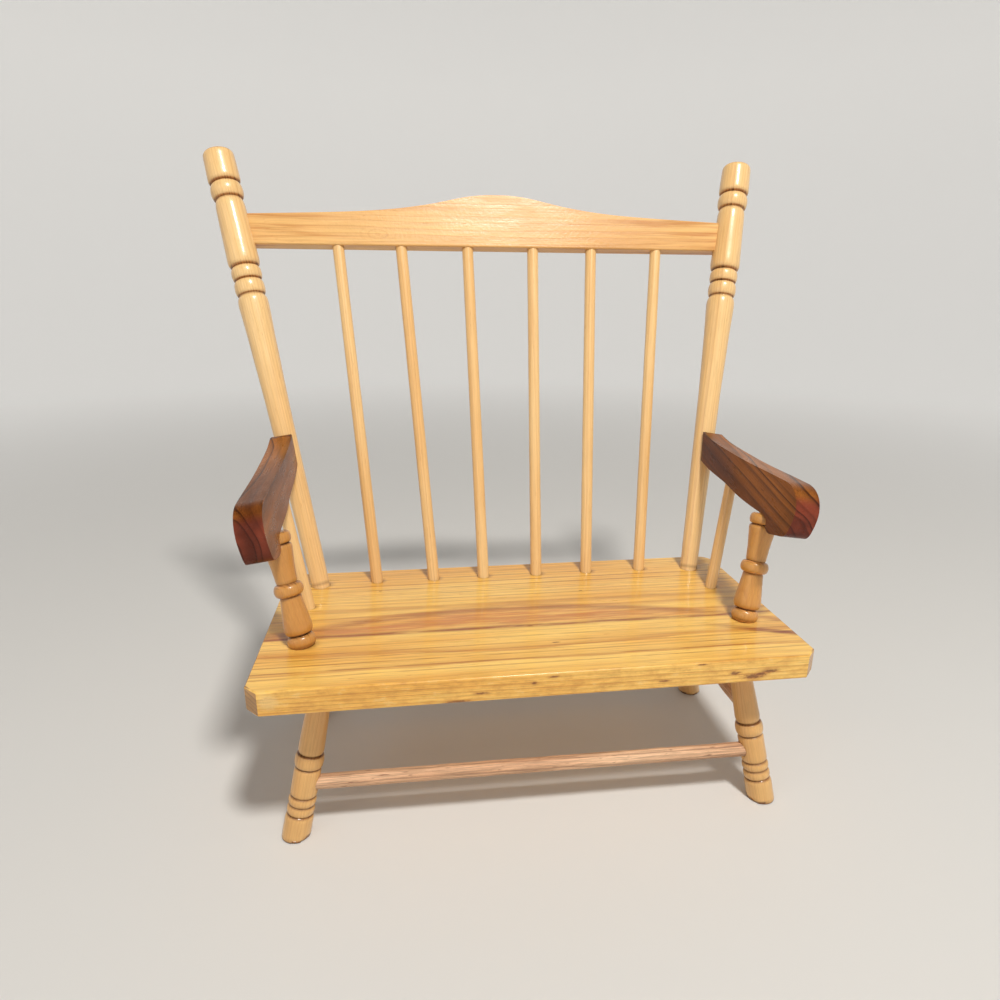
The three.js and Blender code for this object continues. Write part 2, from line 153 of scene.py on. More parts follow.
def carve(target, cutters):
    """Subtracts the cutter objects from target and removes them."""
    for cutter in cutters:
        step = target.modifiers.new("cut", "BOOLEAN")
        step.operation, step.solver, step.object = "DIFFERENCE", "EXACT", cutter
    matrix, name = target.matrix_world.copy(), target.name
    bpy.context.view_layer.update()
    depsgraph = bpy.context.evaluated_depsgraph_get()
    mesh = bpy.data.meshes.new_from_object(target.evaluated_get(depsgraph))
    for old in [target, *cutters]:
        bpy.data.objects.remove(old)
    made = bpy.data.objects.new(name, mesh)
    made.matrix_world = matrix
    bpy.context.scene.collection.objects.link(made)
    return made


def ripple(point, seed, scale):
    """Smooth noise at a point, for hand-made unevenness."""
    return noise.noise(Vector(point) * scale + Vector((seed * 7.3, seed * 3.1, seed)))


def refined(profile, longest):
    """A profile with no step longer than the given length."""
    points = [profile[0]]
    for (r0, h0), (r1, h1) in zip(profile, profile[1:]):
        steps = max(1, math.ceil(math.hypot(r1 - r0, h1 - h0) / longest))
        for i in range(1, steps + 1):
            points.append((r0 + (r1 - r0) * i / steps, h0 + (h1 - h0) * i / steps))
    return points


def turned(name, profile, sides=56, longest=3.0, wobble=0.07, seed=1, grooves=()):
    """A closed turned solid about Z. Grooves are (height, half-width, strength) of painted shade.
    """
    bm = bmesh.new()
    painted_shade_and_dirt = bm.verts.layers.float.new("painted_shade_and_dirt")
    rings = []
    for r, h in refined(profile, longest):
        # painted shade: each groove darkens the vertices round its height
        groove_shade = max([s * math.exp(-(((h - g) / w) ** 2)) for g, w, s in grooves], default=0.0)
        ring = []
        for i in range(sides):
            a = 2 * math.pi * i / sides
            x, y = math.cos(a), math.sin(a)
            uneven = 1.4 * ripple((x * 8, y * 8, h), seed, 0.05) + ripple((0, 0, h), seed, 0.4)
            grown = r + wobble * uneven
            vertex = bm.verts.new((x * grown, y * grown, h))
            vertex[painted_shade_and_dirt] = groove_shade
            ring.append(vertex)
        rings.append(ring)
    for low, high in zip(rings, rings[1:]):
        for i in range(sides):
            bm.faces.new((low[i], low[(i + 1) % sides], high[(i + 1) % sides], high[i]))
    for ring, height in ((rings[0], profile[0][1]), (rings[-1], profile[-1][1])):
        centre = bm.verts.new((0, 0, height))
        for i in range(sides):
            bm.faces.new((ring[i], ring[(i + 1) % sides], centre))
    return object_from(name, bm)


def bead(low, high, valley, crown, steps=12):
    """The points of a half-round bead between two heights."""
    middle, half, rise = (low + high) / 2, (high - low) / 2, crown - valley
    turns = [math.pi * i / steps for i in range(steps + 1)]
    return [(valley + rise * math.sin(t), middle - half * math.cos(t)) for t in turns]


def band(low, high, radius, round_off, drop):
    """A straight stretch between two grooves with its corners rounded over."""
    bottom = [
        (radius - drop, low),
        (radius - drop * 0.35, low + round_off * 0.35),
        (radius, low + round_off),
    ]
    return bottom + [(r, high - (h - low)) for r, h in reversed(bottom)]


def dowel(name, radius, length, seed, wobble=0.06):
    """A plain round rod with its ends eased."""
    profile = [(radius - 0.6, 0), (radius, 0.6), (radius, length - 0.6), (radius - 0.6, length)]
    return turned(name, profile, sides=40, longest=6.0, wobble=wobble, seed=seed)


def drill(radius, length, matrix):
    """A plain round cutter standing on a matrix."""
    cutter = turned("cutter", [(radius, 0), (radius, length)], sides=48, longest=100, wobble=0)
    cutter.matrix_world = matrix
    return cutter


def board(name, outline, thickness, ease, segments=4):
    """A sawn board from an outline in its X-Y plane, centred on Z=0, with its edges eased."""
    bm = bmesh.new()
    low = [bm.verts.new((x, y, -thickness / 2)) for x, y in outline]
    high = [bm.verts.new((x, y, thickness / 2)) for x, y in outline]
    rims = [bm.faces.new(low), bm.faces.new(high)]
    count = len(outline)
    for i in range(count):
        bm.faces.new((low[i], low[(i + 1) % count], high[(i + 1) % count], high[i]))
    edges = {edge for rim in rims for edge in rim.edges}
    corners = [e for e in bm.edges if e not in edges and e.calc_face_angle(0) > math.radians(25)]
    bmesh.ops.bevel(
        bm,
        geom=list(edges) + corners,
        offset=ease,
        segments=segments,
        profile=0.5,
        affect="EDGES",
        clamp_overlap=True,
    )
    return object_from(name, bm)


def catmull_rom(a, b, c, d, t):
    """One coordinate of the curve that runs from b to c, at t from 0 to 1."""
    bend = 2 * a - 5 * b + 4 * c - d
    swing = 3 * b - a - 3 * c + d
    return 0.5 * (2 * b + (c - a) * t + bend * t * t + swing * t**3)


def spline(points, steps=10):
    """A Catmull-Rom curve through points, sampled; the first point is left out."""
    found = []
    for i in range(len(points) - 1):
        p0 = points[max(i - 1, 0)]
        p1, p2 = points[i], points[i + 1]
        p3 = points[min(i + 2, len(points) - 1)]
        for s in range(1, steps + 1):
            t = s / steps
            found.append(tuple(catmull_rom(a, b, c, d, t) for a, b, c, d in zip(p0, p1, p2, p3)))
    return found


def bezier(*points, steps=10):
    """A Bezier curve of any degree, sampled; the first point is left out."""
    found = []
    for s in range(1, steps + 1):
        t, layer = s / steps, list(points)
        while len(layer) > 1:
            layer = [tuple(a + (b - a) * t for a, b in zip(p, q)) for p, q in zip(layer, layer[1:])]
        found.append(layer[0])
    return found


# ---------------------------------------------------------------- node trees


class Graph:
    """A material's node tree, with short calls for the nodes that the woods need."""

    def __init__(self, name):
        self.material = bpy.data.materials.new(name)
        self.material.use_nodes = True
        self.tree = self.material.node_tree
        self.tree.nodes.clear()
        self.shader = self.add("ShaderNodeBsdfPrincipled")
        out = self.add("ShaderNodeOutputMaterial")
        self.tree.links.new(self.shader.outputs[0], out.inputs[0])

    def add(self, kind, inputs=(), **settings):
        node = self.tree.nodes.new(kind)
        for key, value in settings.items():
            setattr(node, key, value)
        for key, value in dict(inputs).items():
            self.feed(node.inputs[key], value)
        return node

    def feed(self, socket, value):
        if isinstance(value, bpy.types.NodeSocket):
            self.tree.links.new(value, socket)
        else:
            socket.default_value = value

    def math(self, operation, a, b=0.0):
        return self.add("ShaderNodeMath", {0: a, 1: b}, operation=operation).outputs[0]

    def vector(self, operation, a, b):
        return self.add("ShaderNodeVectorMath", {0: a, 1: b}, operation=operation).outputs["Vector"]

    def scaled(self, vector, factor):
        inputs = {0: vector, "Scale": factor}
        return self.add("ShaderNodeVectorMath", inputs, operation="SCALE").outputs["Vector"]

    def rotated(self, vector, angles):
        inputs = {"Vector": vector, "Rotation": angles}
        return self.add("ShaderNodeVectorRotate", inputs, rotation_type="EULER_XYZ").outputs[0]

    def distance(self, a, b):
        """The length of the vector whose two parts are a and b."""
        squares = [self.math("MULTIPLY", part, part) for part in (a, b)]
        return self.math("SQRT", self.math("ADD", *squares))

    def split(self, vector):
        return self.add("ShaderNodeSeparateXYZ", {0: vector}).outputs

    def join(self, x, y, z):
        return self.add("ShaderNodeCombineXYZ", {0: x, 1: y, 2: z}).outputs[0]

    def noise(self, vector, scale, detail=2.0, roughness=0.5, colour=False):
        inputs = {"Vector": vector, "Scale": scale, "Detail": detail, "Roughness": roughness}
        return self.add("ShaderNodeTexNoise", inputs).outputs["Color" if colour else "Fac"]

    def ease(self, value, low, high, to_low=0.0, to_high=1.0):
        """A smooth rise from to_low to to_high while value goes from low to high."""
        inputs = {"Value": value, "From Min": low, "From Max": high}
        inputs |= {"To Min": to_low, "To Max": to_high}
        return self.add("ShaderNodeMapRange", inputs, interpolation_type="SMOOTHSTEP").outputs[0]

    def mix(self, factor, a, b, blend="MIX"):
        inputs = {0: factor, 6: colour4(a), 7: colour4(b)}
        return self.add("ShaderNodeMix", inputs, data_type="RGBA", blend_type=blend).outputs[2]

    def ramp(self, factor, stops):
        node = self.add("ShaderNodeValToRGB", {0: factor})
        elements = node.color_ramp.elements
        while len(elements) < len(stops):
            elements.new(0.5)
        for element, (place, grey) in zip(elements, stops):
            element.position, element.color = place, (grey, grey, grey, 1)
        return node.outputs[0]


def colour4(value):
    """A socket as it is, or a colour with its alpha added."""
    if isinstance(value, bpy.types.NodeSocket) or len(value) == 4:
        return value
    return (*value, 1.0)


def linear(v):
    """A channel given as the eye sees it, 0 to 255, as the linear value that shaders take."""
    return v / 255 / 12.92 if v < 10.3 else ((v / 255 + 0.055) / 1.055) ** 2.4


def srgb(*channels):
    return tuple(linear(v) for v in channels)


def dimmed(colour, factor):
    return tuple(v * factor for v in colour)


# ---------------------------------------------------------------- woods


# how dark a growth ring is, from its pale spring edge to the end of summer
RING_DARKNESS = [(0.0, 0.0), (0.38, 0.04), (0.7, 0.42), (0.9, 1.0), (0.965, 0.8), (1.0, 0.0)]


def wood(
    name,
    light,
    deep,
    line,
    end,
    grain="Z",
    tilt=(0, 0, 0),
    pith=(60, 25),
    spacing=3.0,
    lines=0.6,
    wander=3.0,
    blotch=0.5,
    fibre=0.14,
    flecks=0.35,
    roughness=0.34,
    coat=0.55,
    relief=0.25,
    shine=0.5,
    seed=0.0,
    extra=None,
):
    """Varnished wood cut from growth rings round a pith that runs along the grain."""
    g = Graph(name)
    place = g.add("ShaderNodeTexCoord")
    local, facing = g.scaled(place.outputs["Object"], 1000.0), place.outputs["Normal"]
    if any(tilt):
        local, facing = g.rotated(local, tilt), g.rotated(facing, tilt)
    x, y, z = g.split(local)
    across_x, _, along_z = g.split(facing)
    if grain == "X":
        x, y, z, end_on = y, z, x, across_x
    else:
        end_on = along_z
    p = g.join(x, y, z)

    # slow wander of the rings
    own_place = (seed * 31.7, seed * 17.3, seed * 5.9)
    stretched = g.vector("ADD", g.vector("MULTIPLY", p, (1, 1, 0.16)), own_place)
    drift = g.noise(stretched, 0.022, 2.5, 0.55, colour=True)
    drift = g.scaled(g.vector("SUBTRACT", drift, (0.5, 0.5, 0.5)), wander * 4)
    wx, wy, _ = g.split(g.vector("ADD", p, drift))
    radius = g.distance(g.math("SUBTRACT", wx, pith[0]), g.math("SUBTRACT", wy, pith[1]))
    uneven = g.noise(g.join(g.math("MULTIPLY", radius, 0.11), seed, 0.0), 1.0, 1.0)
    count = g.math("ADD", g.math("DIVIDE", radius, spacing), g.math("MULTIPLY", uneven, 1.8))
    phase = g.math("FRACT", count)
    ring = g.ramp(phase, RING_DARKNESS)
    hashed = g.add("ShaderNodeTexWhiteNoise", noise_dimensions="1D")
    g.feed(hashed.inputs["W"], g.math("ADD", g.math("FLOOR", count), seed * 3.7))
    strength = g.ease(hashed.outputs["Value"], 0.0, 1.0, 0.35, 1.0)
    late = g.math("MULTIPLY", ring, strength)

    # fibres, short dark flecks and broad colour changes
    fine = g.vector("ADD", g.vector("MULTIPLY", p, (1, 1, 0.022)), (seed * 3.3, seed * 9.1, seed))
    fibres = g.noise(fine, 1.5, 4.0, 0.62)
    short = g.vector("ADD", g.vector("MULTIPLY", p, (1, 1, 0.10)), (seed * 13.1, seed, seed * 2.2))
    dashes = g.ease(g.noise(short, 0.95, 2.0, 0.5), 0.66, 0.76)
    broad = g.noise(stretched, 0.035, 2.0, 0.5)

    colour = g.mix(g.ease(broad, 0.30, 0.70, 0.0, blotch), light, deep)
    colour = g.mix(g.math("MULTIPLY", late, lines), colour, line)
    height = g.math("ADD", g.math("MULTIPLY", late, -0.5), g.math("MULTIPLY", fibres, 1.1))
    if extra is not None:
        colour, height = extra(g, (x, y, z), wx, colour, height)
    shade = g.ease(fibres, 0.25, 0.75, 1.0 - fibre, 1.0 + fibre * 0.45)
    colour = g.mix(1.0, colour, g.join(shade, shade, shade), "MULTIPLY")
    colour = g.mix(g.math("MULTIPLY", dashes, flecks), colour, line)
    end_tone = g.mix(g.ease(broad, 0.40, 0.60), dimmed(end, 1.35), dimmed(end, 0.7))
    end_tone = g.mix(late, end_tone, dimmed(end, 0.25))
    colour = g.mix(g.ease(g.math("ABSOLUTE", end_on), 0.45, 0.85), colour, end_tone)

    # painted shade gathered in grooves and round joints, and painted shade with dirt at the feet of
    # the legs
    painted_shade_and_dirt = g.add("ShaderNodeAttribute", attribute_name="painted_shade_and_dirt").outputs["Fac"]
    patchiness = g.noise(g.vector("ADD", p, (seed, 0, 0)), 0.5, 3.0, 0.6)
    painted_shade_and_dirt = g.math("MULTIPLY", painted_shade_and_dirt, g.ease(patchiness, 0.2, 0.7, 0.75, 1.0))
    colour = g.mix(painted_shade_and_dirt, colour, g.mix(1.0, colour, (0.20, 0.115, 0.06), "MULTIPLY"))
    g.feed(g.shader.inputs["Base Color"], colour)

    smear = g.noise(g.vector("MULTIPLY", p, (1, 1, 0.3)), 0.09, 3.0, 0.6)
    rough = g.math("ADD", g.ease(smear, 0.3, 0.7, -0.05, 0.08), g.math("MULTIPLY", fibres, 0.10))
    rough = g.math("ADD", rough, g.math("MULTIPLY", painted_shade_and_dirt, 0.25))
    g.feed(g.shader.inputs["Roughness"], g.math("ADD", rough, roughness - 0.05))
    skin = g.noise(p, 0.35, 2.0, 0.5)
    height = g.math("ADD", height, g.math("MULTIPLY", skin, 1.6))
    height = g.math("SUBTRACT", height, g.math("MULTIPLY", dashes, 0.7))
    bump = g.add("ShaderNodeBump", {"Strength": relief, "Distance": 0.0003, "Height": height})
    g.feed(g.shader.inputs["Normal"], bump.outputs[0])
    g.shader.inputs["IOR"].default_value = 1.48
    g.shader.inputs["Specular IOR Level"].default_value = shine
    g.shader.inputs["Coat Weight"].default_value = coat
    g.shader.inputs["Coat Roughness"].default_value = 0.12
    g.shader.inputs["Coat IOR"].default_value = 1.5
    return g.material


HONEY = dict(
    light=srgb(240, 200, 138),
    deep=srgb(226, 172, 102),
    line=srgb(184, 116, 54),
    end=srgb(198, 138, 76),
    spacing=2.6,
    lines=0.32,
    wander=2.2,
    blotch=0.6,
    fibre=0.12,
    flecks=0.35,
    relief=0.22,
    coat=0.4,
)


def turned_wood(name, seed, **changes):
    """Pale straight-grained wood for one turned piece, its own stretch of board."""
    angle, far = seed * 2.4, 70
    pith = (far * math.cos(angle), far * math.sin(angle))
    return wood(name, **(HONEY | {"pith": pith, "seed": seed} | changes))


def spot(g, u, v, centre, size, rough):
    """A soft-edged ellipse in the u-v plane: 1 inside, 0 outside, its rim made uneven by rough."""
    du = g.math("DIVIDE", g.math("SUBTRACT", u, centre[0]), size[0])
    dv = g.math("DIVIDE", g.math("SUBTRACT", v, centre[1]), size[1])
    uneven = g.noise(g.join(g.math("MULTIPLY", u, 0.5), v, 0.0), 0.8, 2.0, 0.6)
    uneven = g.math("MULTIPLY", g.math("SUBTRACT", uneven, 0.5), rough)
    far = g.math("ADD", g.distance(du, dv), uneven)
    return g.math("SUBTRACT", 1.0, g.ease(far, 0.35, 1.0))


def stripe(g, across, place, half):
    """A thin soft line where across passes place."""
    off = g.math("ABSOLUTE", g.math("SUBTRACT", across, place))
    return g.math("SUBTRACT", 1.0, g.ease(off, half * 0.2, half))


# the seat's dark lines: how far back, half-width, strength
SEAT_LINES = [
    (15, 0.7, 0.5),
    (22, 0.8, 0.65),
    (30, 0.7, 0.6),
    (34, 0.5, 0.35),
    (38, 0.8, 0.5),
    (45, 0.8, 0.45),
    (55, 0.7, 0.4),
    (63, 0.5, 0.3),
    (113, 3.5, 0.3),
    (129, 0.7, 0.5),
    (134, 0.5, 0.35),
    (140, 0.8, 0.6),
    (147, 0.5, 0.35),
    (152, 0.8, 0.6),
    (161, 0.7, 0.55),
    (173, 0.8, 0.5),
    (185, 0.7, 0.45),
]
# small dark specks on its top: x, how far back, half-length, half-width
SEAT_SPECKS = [
    (15, 42, 4.2, 0.9),
    (0, 70, 3.6, 0.9),
    (56, 130, 2.4, 0.8),
    (-119, 150, 2.2, 0.9),
    (-8, 71, 5, 0.8),
]
# where uprights stand on it: x, how far back, reach of the painted shade
SEAT_SOCKETS = [(low + 1.0, ROW_Y - 1.0, 9.5) for low, high in SPINDLES]
SEAT_SOCKETS += [(side * POST_X + 1.5, ROW_Y - POST_FORWARD, 13.0) for side in (-1, 1)]
SEAT_SOCKETS += [(x + 1.5, y, 13.5) for x, y in ARM_POST_FOOT.values()]
SEAT_SOCKETS += [(x + 1.0, y, 8.5) for x, y in ARM_SPINDLE_FOOT.values()]
# knots in its front edge: x, height from the edge's middle, half-length, half-height
FRONT_KNOTS = [
    (137.6, -1.0, 4.5, 1.6),
    (152.0, -4.6, 9.0, 2.2),
    (164.4, -1.1, 7.0, 1.5),
    (158.0, -3.0, 5.0, 1.3),
    (85.0, -3.3, 5.0, 0.9),
    (-45.5, -2.8, 6.0, 0.9),
    (5.0, 6.2, 4.5, 0.8),
    (-9.0, 2.2, 2.2, 1.2),
    (112.0, 7.7, 4.0, 0.7),
    (-62.0, -8.0, 9.0, 1.0),
]


def seat_lines(g, depth, z):
    """How strong the seat's thin dark lines are, broken along their length."""
    lines = 0.0
    for number, (across, half, strength) in enumerate(SEAT_LINES):
        gaps = g.noise(g.join(number * 7.7, 0.0, g.math("MULTIPLY", z, 0.022)), 1.0, 2.0, 0.6)
        shown = g.ease(gaps, 0.32, 0.56, 0.12, strength)
        one = g.math("MULTIPLY", stripe(g, depth, across, half * 1.5), shown)
        lines = g.math("MAXIMUM", lines, one)
    return lines


def seat_heart(g, place, depth, broken, colour):
    """The heart: a straight lower edge and an arched upper one, pinkish and streaky between."""
    x, y, z = place
    streaks = g.join(g.math("MULTIPLY", x, 1.6), y, g.math("MULTIPLY", z, 0.10))
    streaks = g.noise(streaks, 0.28, 3.0, 0.6)
    shifted = g.math("ADD", z, 20.0)
    fall = g.math("MULTIPLY", g.math("MULTIPLY", shifted, shifted), 0.00095)
    above = g.math("SUBTRACT", depth, 71.0)
    below = g.math("SUBTRACT", g.math("SUBTRACT", 104.0, fall), depth)
    inside = g.math("MULTIPLY", g.ease(above, -2.0, 7.0), g.ease(below, -11.0, 13.0))
    inside = g.math("MULTIPLY", inside, g.ease(streaks, 0.28, 0.62, 0.15, 0.85))
    colour = g.mix(inside, colour, srgb(208, 128, 66))
    lower = g.math("SUBTRACT", 1.0, g.ease(g.math("ABSOLUTE", above), 0.3, 4.2))
    upper = g.math("SUBTRACT", 1.0, g.ease(g.math("ABSOLUTE", below), 0.5, 8.0))
    edges = g.math("MAXIMUM", g.math("MULTIPLY", lower, 0.9), g.math("MULTIPLY", upper, 0.55))
    edges = g.math("MULTIPLY", edges, g.ease(broken, 0.30, 0.56, 0.2, 1.0))
    return g.mix(edges, colour, srgb(146, 70, 30))


def seat_front(g, place, colour, height):
    """The front edge: mottled, with small broken knots and a paler torn patch at its left end."""
    x, y, z = place
    front = g.math("SUBTRACT", 1.0, g.ease(x, 1.0, 2.2))
    mottle = g.noise(g.join(g.math("MULTIPLY", z, 0.5), y, 0.0), 0.14, 4.0, 0.66)
    patch = g.math("MULTIPLY", front, g.ease(mottle, 0.42, 0.70, 0.0, 0.5))
    colour = g.mix(patch, colour, srgb(196, 132, 58))
    bright = g.math("MULTIPLY", front, g.math("SUBTRACT", 1.0, g.ease(mottle, 0.30, 0.46)))
    colour = g.mix(g.math("MULTIPLY", bright, 0.5), colour, srgb(244, 206, 134))
    for along, up, long, tall in FRONT_KNOTS:
        halo = spot(g, z, y, (along, up), (long * 1.6, tall * 2.0), 0.6)
        halo = g.math("MULTIPLY", g.math("MULTIPLY", halo, front), 0.45)
        colour = g.mix(halo, colour, srgb(178, 108, 46))
        core = g.math("MULTIPLY", spot(g, z, y, (along, up), (long, tall), 1.3), front)
        colour = g.mix(g.math("MULTIPLY", core, 0.75), colour, srgb(104, 52, 22))
        height = g.math("SUBTRACT", height, g.math("MULTIPLY", core, 1.5))
    torn = g.math("MULTIPLY", spot(g, z, y, (-187.0, 1.5), (9.0, 8.0), 0.7), front)
    ridges = g.join(g.math("MULTIPLY", z, 0.9), g.math("MULTIPLY", y, 0.25), 0.0)
    ridges = g.math("MULTIPLY", g.noise(ridges, 1.1, 2.0), 3.0)
    colour = g.mix(g.math("MULTIPLY", torn, 0.6), colour, srgb(240, 204, 136))
    return colour, g.math("ADD", height, g.math("MULTIPLY", torn, ridges))


def seat_figure(g, place, warped, colour, height):
    """The seat's own figure: lines, heart, end streak, specks, painted shade where the uprights
    stand, and front edge.
    """
    x, y, z = place  # the seat's grain runs along z here, its depth along x, its height along y
    depth = g.math("ADD", x, g.math("MULTIPLY", g.math("SUBTRACT", warped, x), 0.30))
    colour = g.mix(seat_lines(g, depth, z), colour, srgb(158, 86, 28))
    broken = g.join(g.math("MULTIPLY", x, 2.0), y, g.math("MULTIPLY", z, 0.16))
    broken = g.noise(broken, 0.13, 4.0, 0.62)
    colour = seat_heart(g, place, depth, broken, colour)

    # a dark reddish streak that runs out at the right end
    slope = g.math("MULTIPLY", g.math("SUBTRACT", z, 158.0), 0.36)
    streak = stripe(g, g.math("ADD", depth, slope), 49.5, 5.5)
    streak = g.math("MULTIPLY", streak, g.ease(z, 128.0, 186.0))
    streak = g.math("MULTIPLY", streak, g.ease(broken, 0.3, 0.6, 0.45, 0.95))
    colour = g.mix(streak, colour, srgb(132, 62, 36))

    # specks, then painted shade round where the uprights stand
    on_top = g.ease(y, 7.0, 8.8)
    for along, across, long, wide in SEAT_SPECKS:
        speck = g.math("MULTIPLY", spot(g, z, x, (along, across), (long, wide), 0.7), on_top)
        colour = g.mix(g.math("MULTIPLY", speck, 0.85), colour, srgb(112, 56, 24))
    for along, across, reach in SEAT_SOCKETS:
        rim = g.math("MULTIPLY", spot(g, z, x, (along, across), (reach, reach * 0.8), 0.3), on_top)
        colour = g.mix(g.math("MULTIPLY", rim, 0.55), colour, srgb(120, 66, 26))
    return seat_front(g, place, colour, height)


def rail_figure(g, place, warped, colour, height):
    """Brown bands that deepen towards the rail's ends, and one small swirl."""
    x, y, z = place  # up the rail, through it and along it
    rise = g.math("ADD", x, g.math("MULTIPLY", g.math("SUBTRACT", warped, x), 0.8))
    bands = g.join(g.math("MULTIPLY", rise, 1.0), y, g.math("MULTIPLY", z, 0.035))
    bands = g.ease(g.noise(bands, 0.22, 3.0, 0.6), 0.45, 0.66)
    from_middle = g.math("ABSOLUTE", g.math("SUBTRACT", z, -30.0))
    bands = g.math("MULTIPLY", bands, g.ease(from_middle, 40.0, 210.0, 0.18, 0.85))
    colour = g.mix(bands, colour, srgb(190, 122, 58))
    along = g.math("MULTIPLY", g.math("ADD", z, 112.0), 0.10)
    up = g.math("MULTIPLY", g.math("SUBTRACT", rise, 318.0), 0.22)
    far = g.distance(along, up)
    curl = g.ease(g.math("SINE", g.math("MULTIPLY", far, 9.0)), 0.2, 1.0)
    curl = g.math("MULTIPLY", curl, g.math("SUBTRACT", 1.0, g.ease(far, 0.6, 2.4)))
    return g.mix(g.math("MULTIPLY", curl, 0.2), colour, srgb(186, 116, 52)), height


SEAT_PINE = wood(
    "seat_pine",
    light=srgb(254, 208, 110),
    deep=srgb(238, 176, 76),
    line=srgb(188, 108, 30),
    end=srgb(154, 94, 32),
    grain="X",
    pith=(60, -150),
    spacing=3.1,
    lines=0.55,
    wander=1.6,
    blotch=0.9,
    fibre=0.22,
    flecks=0.5,
    seed=2.0,
    roughness=0.33,
    coat=0.4,
    extra=seat_figure,
)
RAIL_PINE = wood(
    "rail_pine",
    light=srgb(236, 188, 118),
    deep=srgb(216, 156, 84),
    line=srgb(184, 114, 50),
    end=srgb(186, 120, 58),
    grain="X",
    pith=(14, -30),
    spacing=6.5,
    lines=0.35,
    wander=4.0,
    blotch=0.6,
    fibre=0.14,
    flecks=0.45,
    seed=5.0,
    extra=rail_figure,
)


def arm_wood(name, seed, pith, slant):
    """Red-brown striped wood whose grain slants down towards the nose by some degrees."""
    return wood(
        name,
        light=srgb(166, 100, 40),
        deep=srgb(98, 50, 17),
        line=srgb(50, 20, 7),
        end=srgb(112, 50, 33),
        grain="X",
        tilt=(0, 0, math.radians(-slant)),
        pith=pith,
        spacing=6.0,
        lines=0.92,
        wander=3.4,
        blotch=0.95,
        fibre=0.34,
        flecks=0.55,
        roughness=0.3,
        coat=0.1,
        shine=0.14,
        relief=0.3,
        seed=seed,
    )


def raw_wood(name, seed):
    """Bare open-grained stretcher wood."""
    return wood(
        name,
        light=srgb(240, 200, 162),
        deep=srgb(210, 160, 122),
        line=srgb(118, 70, 48),
        end=srgb(150, 100, 68),
        pith=(12, 16),
        spacing=3.4,
        lines=0.45,
        wander=2.4,
        blotch=0.8,
        fibre=0.5,
        flecks=0.9,
        roughness=0.6,
        coat=0.0,
        relief=1.0,
        seed=seed,
    )


# ---------------------------------------------------------------- finishing a piece


def fit(piece, node, material):
    """Gives a piece its wood and makes it stand for its CAD node, whose name it takes after."""
    piece.name = piece.data.name = "fine_" + node
    piece.data.materials.clear()
    piece.data.materials.append(material)
    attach(piece, "root")
    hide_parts(node)
    return piece


def leveled(piece):
    """Keeps a board's broad faces flat in shading beside its rounded edges."""
    step = piece.modifiers.new("flat_faces", "WEIGHTED_NORMAL")
    step.keep_sharp = True
    return piece


# ---------------------------------------------------------------- back posts

# painted shade in the post's grooves and where it meets the seat: height, half-width, strength
POST_GROOVES = [(h, 1.25, 0.62) for h in (265.4, 279.3, 291.7, 354.1, 369.1)] + [(0, 1.2, 0.5)]
POST_PROFILE = [
    (6.8, -11.9),
    (7.6, -10.9),
    (7.8, 0),
    (9.4, 110),
    (10.2, 168),
    (11.9, 229),
    (12.8, 249),
    (13.1, 256),
    (13.0, 260),
    (12.4, 262.8),
    (11.4, 264.6),
    (10.7, 265.4),
    *bead(265.9, 278.8, 11.0, 13.05),
    (10.5, 279.3),
    *bead(279.8, 291.3, 11.0, 13.05),
    (10.6, 291.8),
    (11.6, 292.4),
    (13.0, 293.8),
    (13.6, 295.8),
    (13.85, 299),
    (13.6, 308),
    (13.25, 325),
    (12.85, 343),
    (12.6, 348.5),
    (12.1, 351.6),
    (11.4, 353.4),
    (10.8, 354.1),
    *bead(354.6, 368.6, 11.3, 14.05),
    (11.0, 369.1),
    (12.3, 369.6),
    (13.5, 370.7),
    (14.0, 372.6),
    (14.0, 376),
    (13.6, 390),
    (13.5, 394.4),
    (13.2, 396.1),
    (12.5, 397.3),
    (11.2, 397.9),
    (8.0, 398.2),
    (3.0, 398.3),
]

seat_holes = []


def post_x(height, label):
    """The x of a post's axis at a height up the slope of the back."""
    return SIDES[label] * (POST_X + height * math.tan(POST_SPLAY[label]))


for label, side in SIDES.items():
    foot = on_back(post_x(0, label), -POST_FORWARD, 0)
    head = on_back(post_x(100, label), -POST_FORWARD, 100)
    stand = standing(foot, head - foot, turn=side)
    name = "back_post_" + label
    post = turned(name, POST_PROFILE, sides=72, longest=2.6, seed=4 + side, grooves=POST_GROOVES)
    post.matrix_world = stand
    fit(post, name, turned_wood("post_wood_" + label, 1.3 + side))
    seat_holes.append(drill(POST_HOLE, BIT, stand @ Matrix.Translation((0, 0, -TENON * MM))))

# ---------------------------------------------------------------- crest rail


def rail_outline():
    """The rail's front view, in the plane of the back; its ends are let into the posts."""
    left = post_x(RAIL_BOTTOM + RAIL_END / 2, "left") + RAIL_TO_POST
    right = post_x(RAIL_BOTTOM + RAIL_END / 2, "right") - RAIL_TO_POST
    low, shoulder = RAIL_BOTTOM, RAIL_BOTTOM + RAIL_END
    rise = [(x, shoulder + z) for x, z in RAIL_CROWN]
    fall = [(-x, z) for x, z in reversed(rise[:-1])]
    crown = spline([(right, shoulder), *rise, *fall, (left, shoulder)], steps=8)
    return [(left, low), (right, low), (right, shoulder), *crown]


rail = board("crest_rail", rail_outline(), RAIL_THICK, 1.6)
upright = Matrix.Rotation(math.pi / 2 - LEAN, 4, "X")
rail.matrix_world = Matrix.Translation(on_back(0, 0, 0) * MM) @ upright

# ---------------------------------------------------------------- back spindles

